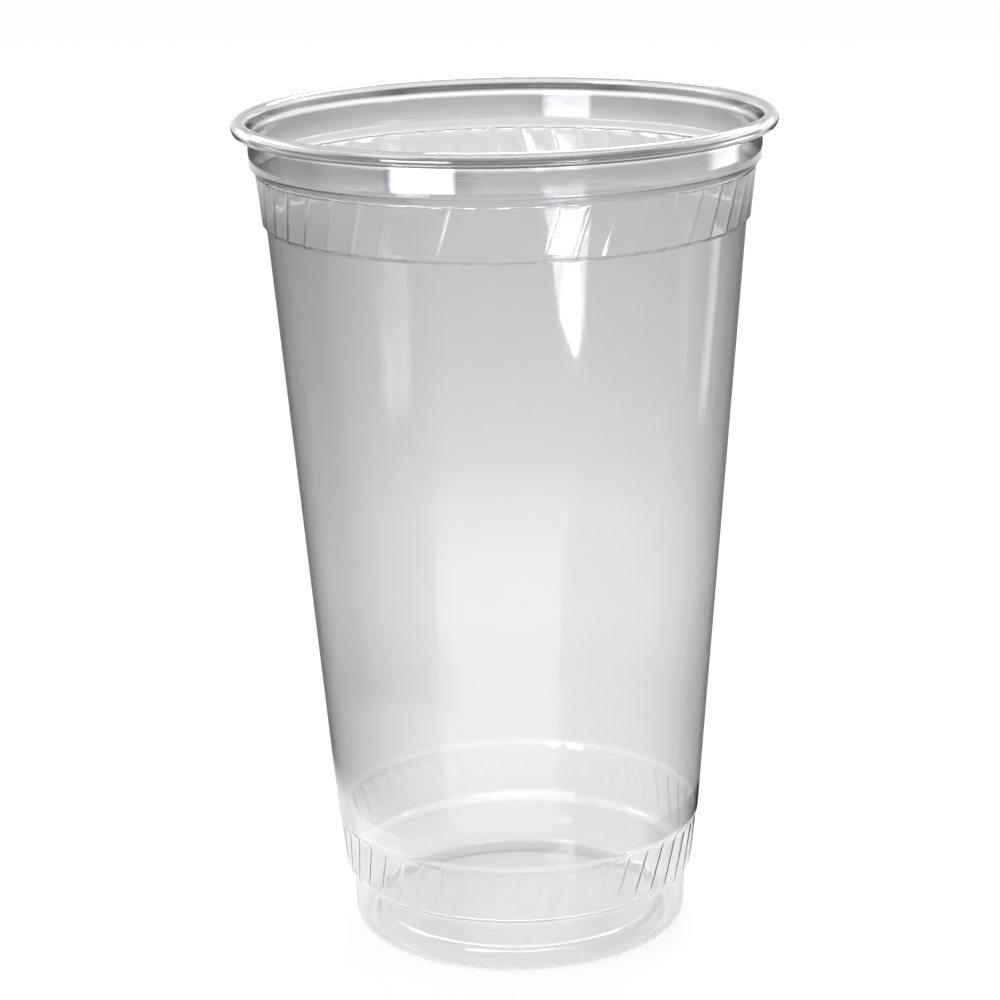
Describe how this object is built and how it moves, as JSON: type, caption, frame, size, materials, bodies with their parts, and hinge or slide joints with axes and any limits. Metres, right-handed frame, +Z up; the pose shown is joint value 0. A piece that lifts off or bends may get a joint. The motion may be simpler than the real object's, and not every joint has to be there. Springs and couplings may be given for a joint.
{
  "type": "disposable cold-drink cup",
  "caption": "Clear thin-walled disposable cup, tapered, with two bands of slanting flutes, a rolled rim and a raised floor.",
  "frame": {"origin": "centre of the foot ring, on the plane that the cup stands on", "axes": "+Z up along the cup's axis, out of its mouth; -Y towards the viewer of the picture"},
  "size_m": [0.098, 0.098, 0.1535],
  "materials": {
    "clear_plastic": "clear, glossy, very slightly smoky"
  },
  "bodies": {
    "root": {"cup": "clear_plastic"}
  },
  "joints": []
}
